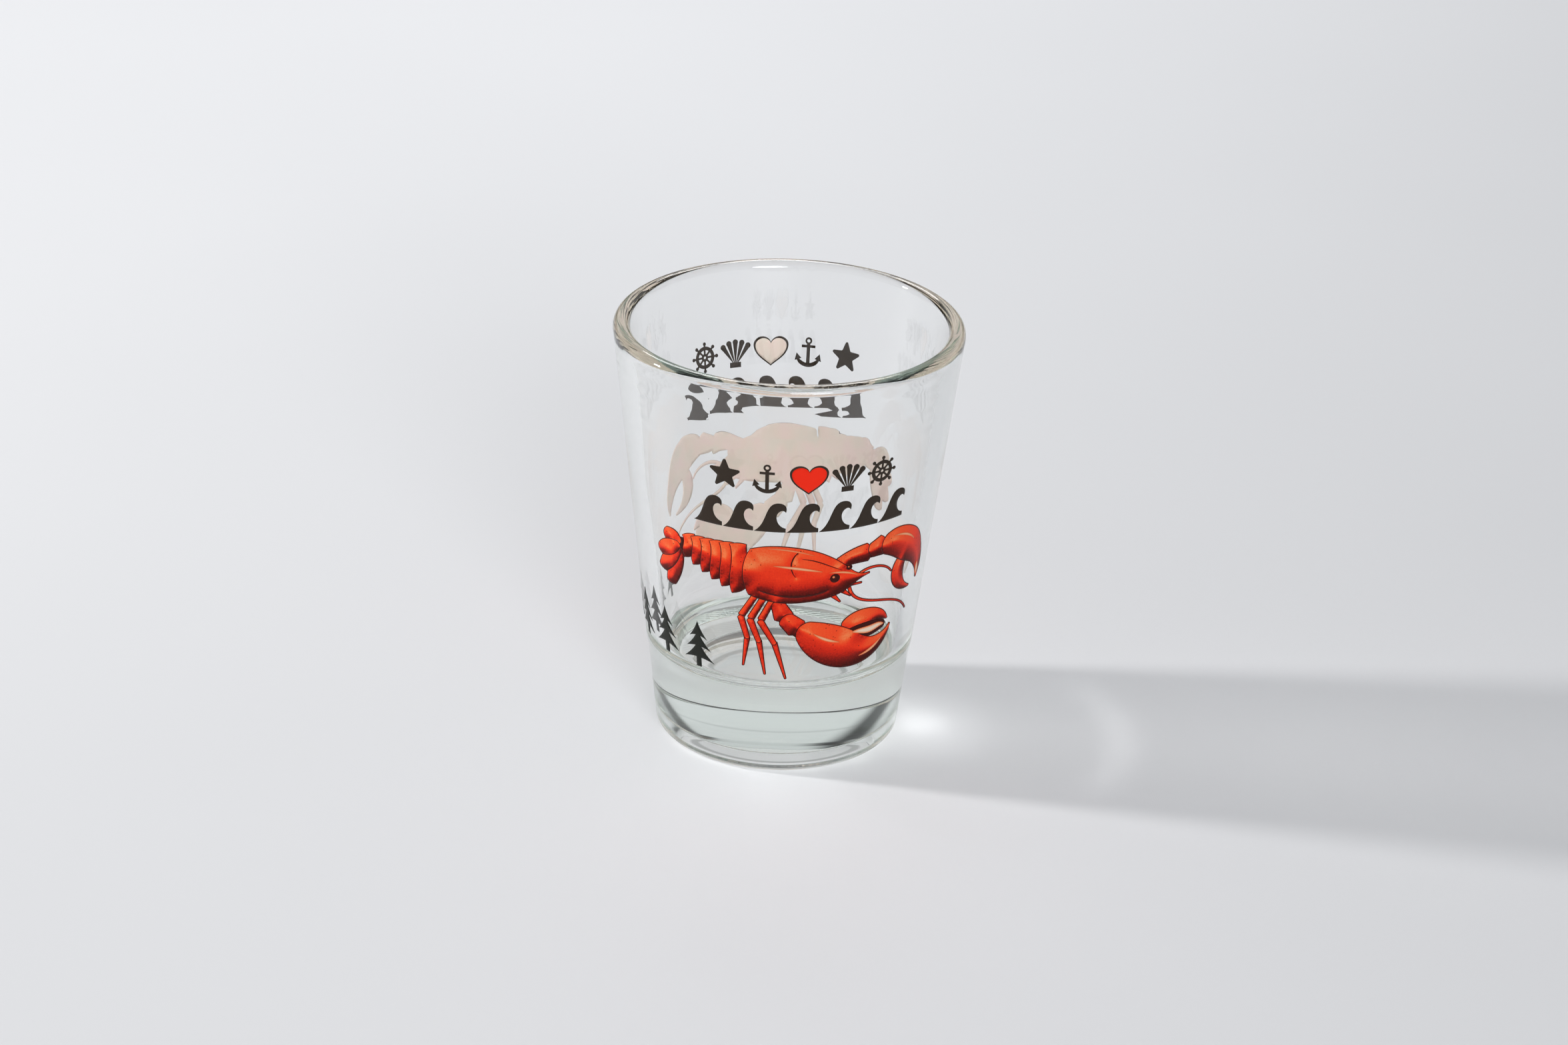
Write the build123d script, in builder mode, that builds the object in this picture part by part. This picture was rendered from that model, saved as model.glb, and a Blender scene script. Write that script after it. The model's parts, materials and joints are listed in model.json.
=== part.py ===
from build123d import *
from math import cos, degrees, pi, radians, sin
import os

# Souvenir shot glass: a heavy-based tapered tumbler with fired enamel ink on its outer wall.
# The glass stands on z = 0 with its axis on Z, and the front of the print faces -Y. The artwork is
# laid out flat, in millimetres: u runs to the right round the wall from the middle of the print,
# and z is the height above the table. Each ink is a thin deposit that follows the cone of the wall.

# Glass
HEIGHT = 60.0
FOOT_RADIUS = 16.95          # the cone of the wall, carried down to z = 0
RIM_RADIUS = 23.85           # the same cone, carried up to the full height
TAPER = (RIM_RADIUS - FOOT_RADIUS) / HEIGHT
LIP_THICKNESS = 2.34
LIP_ROUND = 1.14
SHOULDER_HEIGHT = 13.2       # the thick base is set in a little below this height
SHOULDER_RISE = 1.2
SHOULDER_STEP = 0.12
SHOULDER_ROUND = 1.0
HEEL_ROUND = 1.2
FLOOR_HEIGHT = 12.4
FLOOR_RADIUS = 16.0
FLOOR_ROUND = 3.0
RECESS_RADIUS = 12.6
RECESS_DEPTH = 1.7           # at the edge of its shallow dome
RECESS_DOME = 0.5            # the middle stands this much higher
RECESS_SLOPE = 0.7
RECESS_ROUND = 0.3

# Ink
INK_THICKNESS = 0.05         # one pass of ink
PRINT_BOTTOM = 14.5
PRINT_TOP = 50.0
PRINT_REACH = 30.0           # artwork is carried this far out from the axis, through the wall
KEYLINE = 0.12               # dark line round each shape of the lobster
SIDES = {"front": 0, "back": 178.3}

# Upper row of marks: its middle height, and where each mark stands
MARK_HEIGHT = 46.5
STARFISH_PLACE = -10.3
ANCHOR_PLACE = -4.55
HEART_PLACE = 0.95
SCALLOP_PLACE = 6.3
WHEEL_PLACE = 11.3
HEART_BORDER = 0.89          # the red heart against its black border

# Lower row: running waves
WAVE_FOOT = 38.5
WAVE_COUNT = 7
WAVE_PITCH = 4.3
WAVE_MIDDLE = 0.4

# Fir trees round the left side of the glass
TREE_FOOT = 15.3
TREE_COUNT = 5
TREE_PITCH = 6.1
TREE_FIRST = -13.2


def wall_radius(z):
    """Outer radius of the tapered wall at height z."""
    return FOOT_RADIUS + TAPER * z


def on_wall(u, z):
    """Where a flat artwork point falls in the upright plane that it is cut through."""
    radius = wall_radius(z)
    return (radius * sin(u / radius), z)


def print_plane(turn, height=0):
    """Upright plane through the axis, facing out at `turn` degrees from the front."""
    out = Vector(sin(radians(turn)), -cos(radians(turn)), 0)
    across = Vector(cos(radians(turn)), sin(radians(turn)), 0)
    return Plane(origin=(0, 0, height), x_dir=across, z_dir=out)


def mark_plane(side_turn, u, height):
    """Plane of one small mark, turned to face its own stretch of the wall."""
    return print_plane(side_turn + degrees(u / wall_radius(height)), height)


def ink_film(first_pass, passes=1):
    """Thin conical skin on the wall that holds one or more passes of ink."""
    inner = first_pass * INK_THICKNESS
    outer = inner + passes * INK_THICKNESS
    with BuildPart() as film:
        with BuildSketch(Plane.XZ):
            Polygon(
                (wall_radius(PRINT_BOTTOM) + inner, PRINT_BOTTOM),
                (wall_radius(PRINT_BOTTOM) + outer, PRINT_BOTTOM),
                (wall_radius(PRINT_TOP) + outer, PRINT_TOP),
                (wall_radius(PRINT_TOP) + inner, PRINT_TOP),
                align=None,
            )
        revolve(axis=Axis.Z)
    return film.part


def outline(*strokes):
    """Face bounded by smooth strokes that meet at corners; a stroke of two points is straight."""
    with BuildLine() as edge:
        for stroke in strokes:
            if len(stroke) == 2:
                Line(*stroke)
            else:
                Spline(*stroke)
    make_face(edge.edges())


def limb(spine, bulge=0.45, grow=0.0, mode=Mode.ADD):
    """Tapering shape with bulged ends, along a spine of (u, z, half width) points."""
    last = len(spine) - 1
    left = []
    right = []
    tips = []
    for index, (u, z, half) in enumerate(spine):
        before = spine[max(index - 1, 0)]
        after = spine[min(index + 1, last)]
        ahead = Vector(after[0] - before[0], after[1] - before[1]).normalized()
        width = half + grow
        left.append(on_wall(u - ahead.Y * width, z + ahead.X * width))
        right.append(on_wall(u + ahead.Y * width, z - ahead.X * width))
        if index in (0, last):
            reach = (bulge * half + grow) * (1 if index else -1)
            tips.append(on_wall(u + ahead.X * reach, z + ahead.Y * reach))
    with BuildLine() as edge:
        if last == 1:
            Line(*left)
            Line(*right)
        else:
            Spline(*left)
            Spline(*right)
        ThreePointArc(left[0], tips[0], right[0])
        ThreePointArc(left[-1], tips[1], right[-1])
    make_face(edge.edges(), mode=mode)


def grown(*spine, bulge=0.45):
    """Limb with its dark line, for the whole figure."""
    limb(spine, bulge, grow=KEYLINE)


def painted(*spine, bulge=0.45):
    """Limb in front of all that is drawn so far: it clears its dark line first."""
    limb(spine, bulge, grow=KEYLINE, mode=Mode.SUBTRACT)
    limb(spine, bulge)


def engraved(*spine):
    """Fine line taken out of the shapes drawn so far."""
    limb(spine, mode=Mode.SUBTRACT)


# The lobster, facing right. Each function draws its shapes with `draw`, from back to front.


def raised_claw(draw):
    """Far arm and claw, held up and forward."""
    draw((5.6, 33.4, 0.7), (7.9, 34.1, 1.15), (9.9, 34.3, 1.35))
    draw((10.6, 34.4, 1.1), (12.4, 34.9, 1.5))
    draw((16.6, 31.6, 0.8), (15.7, 29.4, 1.15), (16.4, 27.4, 0.85), (18.7, 26.1, 0.1))
    draw(
        (13.0, 34.7, 1.5), (15.4, 34.4, 2.3), (17.9, 33.1, 2.5), (19.9, 31.0, 1.7),
        (20.9, 28.7, 0.9), (20.8, 26.7, 0.1),
    )


def tail_fan(draw):
    """Four broad lobes at the end of the tail, hanging down."""
    root_u = -16.4
    root_z = 34.0
    for angle, length in ((168, 3.4), (252, 7.0), (232, 6.3), (208, 5.0)):
        along_u = cos(radians(angle)) * length
        along_z = sin(radians(angle)) * length
        draw(
            (root_u + 0.2 * along_u, root_z + 0.2 * along_z, 0.5),
            (root_u + 0.6 * along_u, root_z + 0.6 * along_z, 1.15),
            (root_u + along_u, root_z + along_z, 0.85),
        )


def tail_rings(draw):
    """Six overlapping rings of the tail, each ending below in a short spike."""
    for ring in reversed(range(6)):
        u = -8.0 - 1.5 * ring
        top = 36.1 - 0.08 * ring
        spike = 28.5 + 0.72 * ring
        middle = (top + spike) / 2
        half = 1.12 - 0.02 * ring
        draw(
            (u - 0.1, top, half), (u + 0.3, middle + 0.7, half + 0.05),
            (u + 0.1, spike + 1.3, half), (u - 0.6, spike, 0.06),
            bulge=0.12,
        )


def walking_legs(draw):
    """Three jointed legs under the body, each thinner towards its pointed toe."""
    hips = ((-5.4, 28.6), (-4.3, 28.3), (-3.1, 28.1))
    knees = ((-7.2, 25.2), (-5.9, 24.9), (-4.5, 24.8))
    ankles = ((-6.3, 21.8), (-4.7, 21.4), (-2.6, 21.2))
    toes = ((-6.7, 17.3), (-3.7, 16.2), (-0.9, 15.6))
    for hip, knee, ankle, toe in zip(hips, knees, ankles, toes):
        draw((*hip, 0.36), (*knee, 0.42))
        draw((*ankle, 0.34), (*toe, 0.07))
        draw((knee[0] - 0.1, knee[1] - 0.3, 0.40), (ankle[0], ankle[1] - 0.1, 0.30))


def lowered_claw(draw):
    """Near arm and its heavy crusher claw, held low and forward."""
    draw((-2.4, 27.4, 0.9), (-1.5, 25.4, 1.3))
    draw((-1.2, 25.0, 1.15), (0.3, 23.6, 1.45))
    draw((7.0, 23.2, 0.75), (9.2, 24.1, 1.1), (12.0, 23.9, 0.9), (14.2, 22.6, 0.1))
    draw(
        (1.2, 23.3, 1.5), (3.4, 21.6, 2.7), (6.4, 19.9, 3.0), (9.4, 18.9, 2.3),
        (11.9, 19.0, 1.4), (13.8, 20.0, 0.65), (14.9, 21.4, 0.08),
    )


def feelers(draw):
    """Two long antennae, with the short antennules and jaws in front of the face."""
    draw((7.4, 29.2, 0.2), (8.6, 27.4, 0.13), (11.2, 26.3, 0.10), (15.2, 25.1, 0.08), (18.4, 22.6, 0.06))
    draw((8.8, 31.1, 0.16), (11.0, 31.7, 0.11), (13.2, 31.1, 0.08), (14.3, 30.1, 0.06))
    draw((7.0, 29.7, 0.16), (9.2, 29.7, 0.06))
    draw((6.0, 29.3, 0.36), (7.6, 28.0, 0.06))
    draw((4.6, 28.9, 0.36), (6.1, 27.3, 0.06))


def carapace(draw):
    """Shell of the head and thorax, ending in the pointed rostrum."""
    draw(
        (-6.4, 32.1, 3.5), (-4.2, 32.1, 4.1), (-1.3, 31.9, 4.3), (1.8, 31.6, 3.9),
        (4.6, 31.1, 3.0), (6.8, 30.8, 1.8), (8.4, 30.8, 0.65), (10.4, 31.0, 0.06),
        bulge=0.25,
    )


def eyes(mode=Mode.ADD):
    """Near eye on the head, and the far eye standing out above it."""
    for u, z, radius in ((5.2, 31.1, 0.68), (7.2, 32.5, 0.42)):
        with Locations(on_wall(u, z)):
            Circle(radius, mode=mode)


def shell_grooves():
    """Neck groove, side groove and lower edge line of the carapace."""
    engraved((0.4, 35.7, 0.04), (-0.7, 34.3, 0.09), (-0.8, 32.9, 0.08), (-0.2, 31.6, 0.03))
    engraved((0.6, 34.4, 0.03), (2.4, 34.0, 0.07), (4.4, 33.1, 0.06), (6.2, 32.2, 0.03))
    engraved((-5.0, 29.3, 0.03), (-2.0, 28.6, 0.06), (1.4, 28.6, 0.06), (4.2, 29.2, 0.03))


def animal(draw):
    """Every shape of the lobster, from back to front."""
    raised_claw(draw)
    tail_fan(draw)
    tail_rings(draw)
    walking_legs(draw)
    lowered_claw(draw)
    feelers(draw)
    carapace(draw)


def lobster_figure():
    """Whole figure, filled behind its joints and between the fingers of the near claw."""
    animal(grown)
    eyes()
    grown((-17.0, 33.9, 0.9), (-12.0, 33.6, 1.4), (-6.0, 32.3, 2.6))
    grown((-2.6, 27.6, 0.8), (-0.6, 24.4, 1.0), (2.6, 22.6, 1.5))
    grown((9.6, 34.3, 0.9), (14.2, 34.6, 1.3))
    grown((7.6, 22.3, 0.9), (10.6, 21.9, 1.2), (13.6, 21.9, 0.5))


def lobster_red():
    """Separate red shapes, with gaps where the dark line shows."""
    eyes()                   # gives the rearmost shape something to clear, and comes out again
    animal(painted)
    shell_grooves()
    eyes(Mode.SUBTRACT)


def lobster_dark():
    """All of the figure that the red shapes leave uncovered."""
    add(LOBSTER_FIGURE)
    add(LOBSTER_RED, mode=Mode.SUBTRACT)


def lobster_pale():
    """Highlights on the shell, the glint in each eye, and the teeth of the near claw."""
    limb(((-3.2, 33.3, 0.05), (-0.2, 33.0, 0.22), (3.4, 32.3, 0.05)))
    limb(((-4.6, 35.9, 0.04), (-1.4, 35.8, 0.12), (2.2, 34.9, 0.04)))
    limb(((4.4, 32.0, 0.05), (6.2, 31.9, 0.16), (8.6, 31.1, 0.04)))
    limb(((2.6, 22.6, 0.05), (4.2, 21.6, 0.24), (6.4, 20.8, 0.05)))
    limb(((9.6, 17.9, 0.05), (11.6, 18.5, 0.22), (13.4, 19.8, 0.05)))
    limb(((14.4, 35.6, 0.05), (16.8, 35.1, 0.20), (19.0, 33.6, 0.05)))
    limb(((20.6, 29.2, 0.06), (20.7, 28.1, 0.40), (20.7, 27.1, 0.06)))
    limb(((8.3, 22.0, 0.10), (9.6, 21.9, 0.42), (11.2, 21.8, 0.55), (12.6, 22.0, 0.42), (13.6, 21.9, 0.10)))
    for u, z, radius in ((5.0, 31.3, 0.17), (7.1, 32.6, 0.11)):
        with Locations(on_wall(u, z)):
            Circle(radius)


# Marks, each drawn about its own middle


def heart(size=1.0):
    """Heart with round shoulders and a pointed foot."""
    half = ((0, 1.25), (0.75, 2.0), (1.65, 2.05), (2.5, 1.35), (2.4, 0.15), (1.3, -1.15), (0, -2.15))
    right = [(size * x, size * y) for x, y in half]
    left = [(-x, y) for x, y in reversed(right)]
    outline(right, left)


def heart_border():
    """Black border round the red heart."""
    heart()
    with BuildSketch(mode=Mode.PRIVATE) as middle:
        heart(HEART_BORDER)
    add(middle.sketch, mode=Mode.SUBTRACT)


def heart_middle():
    """Heart inside its border."""
    heart(HEART_BORDER)


def starfish():
    """Five rounded arms."""
    arm = 2.6
    notch = 1.1
    corners = []
    for corner in range(10):
        reach = notch if corner % 2 else arm
        angle = pi / 2 + pi * corner / 5
        corners.append((reach * cos(angle), reach * sin(angle)))
    body = Polygon(*corners, align=None)
    fillet(body.vertices(), 0.22)


def anchor():
    """Ring, stock, shank and two pointed flukes."""
    with Locations((0, 1.65)):
        Circle(0.5)
        Circle(0.24, mode=Mode.SUBTRACT)
    with Locations((0, 0.85)):
        Rectangle(2.0, 0.36)
    with Locations((0, -0.4)):
        Rectangle(0.5, 3.2)
    outline(
        ((-1.75, -0.55), (-1.2, -1.75), (0, -2.15), (1.2, -1.75), (1.75, -0.55)),
        ((1.75, -0.55), (1.0, -1.25), (0, -1.6), (-1.0, -1.25), (-1.75, -0.55)),
    )
    for way in (-1, 1):
        Polygon((way * 1.95, -1.25), (way * 1.72, -0.15), (way * 1.0, -0.9), align=None)


def scallop():
    """Fan of ribs that meet in a small hinge."""
    hinge = -1.9
    reach = 3.45
    spread = radians(6.0)
    for rib in range(5):
        turn = radians(90 + 17 * (rib - 2))
        tip = (reach * cos(turn), hinge + reach * sin(turn))
        right = (reach * cos(turn - spread), hinge + reach * sin(turn - spread))
        left = (reach * cos(turn + spread), hinge + reach * sin(turn + spread))
        Polygon((0, hinge), right, left, align=None)
        with Locations(tip):
            Circle(0.4)
    with Locations((0, hinge + 0.15)):
        Rectangle(1.7, 0.75)


def helm_wheel():
    """Ship's wheel: rim, hub, and eight spokes that end in handles."""
    Circle(1.6)
    Circle(1.1, mode=Mode.SUBTRACT)
    with PolarLocations(1.1, 8):
        Rectangle(1.9, 0.28)
    with PolarLocations(1.98, 8):
        Circle(0.25)
    Circle(0.55)
    Circle(0.2, mode=Mode.SUBTRACT)


def wave_crest():
    """Breaking wave with its tip curled over, on a flat foot."""
    outline(
        ((-2.1, 0), (-1.25, 0.9), (-0.5, 2.7), (0.6, 4.3), (1.75, 4.25), (2.1, 3.0)),
        ((2.1, 3.0), (1.6, 3.3), (1.05, 2.9), (0.9, 1.9), (1.35, 1.0), (2.1, 0.6)),
        ((2.1, 0.6), (2.1, 0)),
        ((2.1, 0), (-2.1, 0)),
    )


def fir_tree():
    """Three drooping tiers on a short trunk."""
    with Locations((0, 0.9)):
        Rectangle(0.8, 1.8)
    for half, foot, top in ((2.45, 1.0, 4.0), (2.0, 2.8, 5.6), (1.45, 4.5, 7.1)):
        outline(
            ((-half, foot), (0, foot + 0.45), (half, foot)),
            ((half, foot), (half * 0.4, (foot + top) / 2), (0, top)),
            ((0, top), (-half * 0.4, (foot + top) / 2), (-half, foot)),
        )


def flat_sketch(drawing):
    """Artwork drawn once, for use on both sides of the glass."""
    with BuildSketch() as sheet:
        drawing()
    return sheet.sketch


os.makedirs("parts", exist_ok=True)

FIRST_PASS = ink_film(0)
SECOND_PASS = ink_film(1)
THIRD_PASS = ink_film(2)
BORDER_PASSES = ink_film(0, passes=2)

LOBSTER_FIGURE = flat_sketch(lobster_figure)
LOBSTER_RED = flat_sketch(lobster_red)
LOBSTER_INKS = {
    "lobster_white_base": (LOBSTER_FIGURE, FIRST_PASS),
    "lobster_red_ink": (LOBSTER_RED, SECOND_PASS),
    "lobster_dark_ink": (flat_sketch(lobster_dark), SECOND_PASS),
    "lobster_pale_ink": (flat_sketch(lobster_pale), THIRD_PASS),
}
MARKS = {
    "starfish_mark": (starfish, STARFISH_PLACE, FIRST_PASS),
    "anchor_mark": (anchor, ANCHOR_PLACE, FIRST_PASS),
    "heart_border": (heart_border, HEART_PLACE, BORDER_PASSES),
    "heart_white_base": (heart_middle, HEART_PLACE, FIRST_PASS),
    "heart_red_ink": (heart_middle, HEART_PLACE, SECOND_PASS),
    "scallop_mark": (scallop, SCALLOP_PLACE, FIRST_PASS),
    "helm_wheel_mark": (helm_wheel, WHEEL_PLACE, FIRST_PASS),
}

# Glass body: half section from the middle of the recess, round the outside, to the cup's floor
with BuildPart() as glass_body:
    with BuildSketch(Plane.XZ):
        with BuildLine():
            shoulder_foot = SHOULDER_HEIGHT - SHOULDER_RISE
            dome = TangentArc(
                (0, RECESS_DEPTH + RECESS_DOME),
                (RECESS_RADIUS - RECESS_SLOPE, RECESS_DEPTH),
                tangent=(1, 0),
            )
            section = FilletPolyline(
                dome @ 1,
                (RECESS_RADIUS, 0),
                (FOOT_RADIUS - SHOULDER_STEP, 0),
                (wall_radius(shoulder_foot) - SHOULDER_STEP, shoulder_foot),
                (wall_radius(SHOULDER_HEIGHT), SHOULDER_HEIGHT),
                (RIM_RADIUS, HEIGHT),
                (RIM_RADIUS - LIP_THICKNESS, HEIGHT),
                (FLOOR_RADIUS, FLOOR_HEIGHT),
                (0, FLOOR_HEIGHT),
                radius=(
                    RECESS_ROUND, HEEL_ROUND, SHOULDER_ROUND, SHOULDER_ROUND,
                    LIP_ROUND, LIP_ROUND, FLOOR_ROUND,
                ),
            )
            Line(section @ 1, dome @ 0)
        make_face()
    revolve(axis=Axis.Z)
glass_body.part.label = "glass_body"
export_step(glass_body.part, "parts/glass_body.step")

# Front and back prints
for side, side_turn in SIDES.items():
    for name, (artwork, film) in LOBSTER_INKS.items():
        with BuildPart() as lobster_ink:
            with BuildSketch(print_plane(side_turn)):
                add(artwork)
            extrude(amount=PRINT_REACH)
            add(film, mode=Mode.INTERSECT)
        lobster_ink.part.label = f"{side}_{name}"
        export_step(lobster_ink.part, f"parts/{side}_{name}.step")

    for name, (drawing, place, film) in MARKS.items():
        with BuildPart() as mark:
            with BuildSketch(mark_plane(side_turn, place, MARK_HEIGHT)):
                drawing()
            extrude(amount=PRINT_REACH)
            add(film, mode=Mode.INTERSECT)
        mark.part.label = f"{side}_{name}"
        export_step(mark.part, f"parts/{side}_{name}.step")

    with BuildPart() as wave_row:
        for wave in range(WAVE_COUNT):
            place = WAVE_MIDDLE + WAVE_PITCH * (wave - (WAVE_COUNT - 1) / 2)
            with BuildSketch(mark_plane(side_turn, place, WAVE_FOOT)):
                wave_crest()
            extrude(amount=PRINT_REACH)
        add(FIRST_PASS, mode=Mode.INTERSECT)
    wave_row.part.label = f"{side}_wave_row"
    export_step(wave_row.part, f"parts/{side}_wave_row.step")

# Fir trees on the left side
with BuildPart() as side_fir_trees:
    for tree in range(TREE_COUNT):
        with BuildSketch(mark_plane(SIDES["front"], TREE_FIRST - TREE_PITCH * tree, TREE_FOOT)):
            fir_tree()
        extrude(amount=PRINT_REACH)
    add(FIRST_PASS, mode=Mode.INTERSECT)
side_fir_trees.part.label = "side_fir_trees"
export_step(side_fir_trees.part, "parts/side_fir_trees.step")
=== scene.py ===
"""Looks of the souvenir shot glass: clear glass with fired enamel ink on its outer wall.

Lengths named below are in millimetres, as on the drawing; meshes are made in metres.
"""

import json
import math
from types import SimpleNamespace

import bpy
import numpy as np
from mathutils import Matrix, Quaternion, Vector
from mathutils.geometry import delaunay_2d_cdt

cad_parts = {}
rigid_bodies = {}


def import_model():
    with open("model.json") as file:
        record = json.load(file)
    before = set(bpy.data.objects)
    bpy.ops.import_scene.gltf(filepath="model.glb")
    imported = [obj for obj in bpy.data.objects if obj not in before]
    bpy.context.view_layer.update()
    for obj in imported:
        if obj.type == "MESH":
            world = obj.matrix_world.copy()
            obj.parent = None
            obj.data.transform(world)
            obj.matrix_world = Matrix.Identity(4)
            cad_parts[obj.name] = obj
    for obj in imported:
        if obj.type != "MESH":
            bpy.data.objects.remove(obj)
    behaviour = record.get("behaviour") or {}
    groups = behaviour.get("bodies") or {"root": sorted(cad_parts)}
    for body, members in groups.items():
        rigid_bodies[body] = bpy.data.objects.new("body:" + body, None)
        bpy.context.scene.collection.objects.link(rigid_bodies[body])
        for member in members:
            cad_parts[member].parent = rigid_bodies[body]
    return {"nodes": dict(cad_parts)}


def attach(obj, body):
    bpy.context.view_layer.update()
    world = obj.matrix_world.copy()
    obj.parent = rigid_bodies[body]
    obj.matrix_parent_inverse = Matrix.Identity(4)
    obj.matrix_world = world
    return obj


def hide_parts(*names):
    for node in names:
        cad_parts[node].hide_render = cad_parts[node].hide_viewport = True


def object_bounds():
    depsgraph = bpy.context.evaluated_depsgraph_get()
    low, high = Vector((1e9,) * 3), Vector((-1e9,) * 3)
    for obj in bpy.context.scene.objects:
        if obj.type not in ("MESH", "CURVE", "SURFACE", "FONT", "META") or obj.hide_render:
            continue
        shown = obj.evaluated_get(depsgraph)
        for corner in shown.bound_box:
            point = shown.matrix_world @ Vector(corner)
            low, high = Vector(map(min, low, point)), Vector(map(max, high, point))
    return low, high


MM = 0.001

# Glass, as in the CAD model
LIP_THICKNESS = 2.34
LIP_ROUND = 1.14
SHOULDER_HEIGHT = 13.2
SHOULDER_RISE = 1.2
SHOULDER_STEP = 0.12
SHOULDER_ROUND = 1.0
HEEL_ROUND = 1.2
FLOOR_HEIGHT = 12.4
FLOOR_RADIUS = 16.0
FLOOR_ROUND = 3.0
RECESS_RADIUS = 12.6
RECESS_DEPTH = 1.7
RECESS_DOME = 0.5
RECESS_SLOPE = 0.7
RECESS_ROUND = 0.3
FOOT_RADIUS = 16.95
RIM_RADIUS = 23.85

# Mesh of the glass
GLASS_SEGMENTS = 360
DOME_STEPS = 24
ROUND_STEP = 9                # degrees of a rounded corner between points
LONG_SPACING = 1.3            # between points of the section
CUP_SPACING = 0.4             # the same, up the inside of the cup

# Waves of pressed glass inside the cup: (size, lobes round the glass, lean, phase)
CUP_WAVES = [(0.010, 7, 0.25, 0.0), (0.003, 13, -0.3, 1.0)]
WAVES_START = 2               # they start this far above the floor of the cup
WAVES_GROW = 6                # and reach their full size over this height
LIP_GAIN = 2                  # at the lip they are larger again, by this many times their size

# Fire-polish ripples inside the lip: (size, rate, sway, lobes of the sway, phase)
LIP_RIPPLES = [(0.011, 2.3, 2.0, 3, 0.0), (0.007, 3.9, 1.5, 5, 1.0)]
RIPPLE_FOOT = 47.0            # they start at this height

# Stipple on the bearing ring
STIPPLE_COUNT = 90
STIPPLE_PITCH = 0.24
STIPPLE_DEPTH = 0.07

# Ink
INK_PASS = 0.05
INK_SINK = 0.02               # the first pass keys this far into the glass
INK_GRID = 0.22               # spacing of the points inside an ink shape
BASE_GRID = 0.5
RED_GRID = 0.16
PALE_GRID = 0.1
MARK_GRID = 0.4
HEART_GRID = 0.3
CHUNK = 2000                  # points measured at a time

# Painted roundness of the red shapes: how far it rises, and how far in from an edge
FIGURE_RISE = 0.62
FIGURE_REACH = 3.6
PLATE_RISE = 0.30
PLATE_REACH = (0.12, 0.9)
SMOOTHINGS = 10
SMOOTHING = 0.6

# Painted light on it
PAINT_LIGHT = (-0.30, 0.72, 0.62)
PAINT_SHADE = 0.13
PAINT_DIFFUSE = 0.61
PAINT_SHINE = 0.16
SHINE_POWER = 30

SIDES = {"front": 0, "back": 178.3}
BLACK_MARKS = ("starfish_mark", "anchor_mark", "scallop_mark", "helm_wheel_mark", "wave_row")

# Looks
GLASS_IOR = 1.52
GLASS_TINT = (0.795, 0.905, 0.82)
TINT_DENSITY = 16.0
GRAZING_SHADE = (0.80, 0.80, 0.795)   # painted shade: glass seen edge on is darkened to this
SHADOW_PASSED = 0.45          # light that the glass passes on into its own shadow
BASE_PASSED = 0.5             # share of it below the floor of the cup, where the base gathers it
BASE_FADE = (0.2, 1.4)        # heights above that floor between which this share rises to all of it
ENAMEL_GLOSS = 0.08
TABLE_REACH = 3.0             # metres from the middle to a side
TABLE_DROP = 0.02             # keeps the foot and the table apart
FOOT_SHADOW_REACH = 1.2 * FOOT_RADIUS   # painted shadow: the table is darker inside this radius

# Lamps: place and aim in metres, size, power and colour
LAMPS = {
    "key": ((-0.69, 0.125, 0.371), (0, 0, 0.02), 0.07, 3.6, (1.0, 0.99, 0.98)),
    "front": ((0.12, -0.71, 0.33), (0, 0, 0.02), 0.35, 2.3, (0.98, 0.98, 1.0)),
    "back": ((0.01, 0.5, 0.5), (0.03, 0.41, 0), 0.35, 1.65, (0.98, 0.985, 1.0)),
    "print_glow": ((0.0, -0.72, 0.33), (0, 0, 0.02), 0.35, 1.9, (1, 1, 1)),
}
SHADOWLESS = ("back", "print_glow")

# Light that the glass gathers on the table: x, y, width in degrees and power of each soft spot
GATHERED_FROM = (0.12, -0.02, 0.4)
GATHERED_SOFTNESS = 0.002
BRIGHT_SPOT = (20.3, -3.3, 1.3, 1.7)
HAZE = (20.0, -4.2, 3.4, 0.9)
ARC_MIDDLE = (20.7, -5.6)
ARC_RADIUS = 27.2
ARC_START = -42               # degrees
ARC_SWEEP = 74
ARC_SPOTS = 14
ARC_WIDTH = 1.05
ARC_POWER = 0.40

# Room: brightness by height of the direction, from the horizon up
ROOM_STRENGTH = 0.525
SKY = [
    (0.00, (0.12, 0.12, 0.12)),
    (0.10, (0.09, 0.09, 0.09)),
    (0.16, (0.13, 0.13, 0.135)),
    (0.25, (1.26, 1.29, 1.32)),
    (0.49, (1.26, 1.29, 1.32)),
    (0.505, (1.00, 1.02, 1.04)),
    (0.52, (1.26, 1.29, 1.32)),
    (0.66, (1.20, 1.23, 1.26)),
    (0.80, (0.95, 0.97, 1.00)),
    (1.00, (0.90, 0.92, 0.95)),
]
FRONT_OF_ROOM = 0.5           # brightness of the front of the room against the back
FRONT_TO_BACK = (0.30, 0.65)  # where one turns into the other
# Dark bars in the room, which the thick base mirrors: the normal of the bar, where its edge
# starts and ends, the axis and range over which it fades out, and the brightness of its middle
DARK_BARS = [
    ((0.60, 0.71, -0.367), (0.05, 0.24), 1, (0.35, 0.20), 0.06),
    ((0.230, -0.880, 0.416), (0.04, 0.14), 0, (0.45, 0.35), 0.15),
]

# Camera
CAMERA_AZIMUTH = -6.0
CAMERA_ELEVATION = 25.1
CAMERA_ROLL = 2.0
CAMERA_DISTANCE = 505.7
CAMERA_LENS = 84.4
SENSOR_WIDTH = 36
AIM_HEIGHT = 30.0
AIM_RIGHT = 0.18
AIM_UP = -0.05

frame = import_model()
cad_low, cad_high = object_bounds()
HEIGHT = cad_high[2] / MM
TAPER = (RIM_RADIUS - FOOT_RADIUS) / HEIGHT


# ---------------------------------------------------------------- meshes


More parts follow.
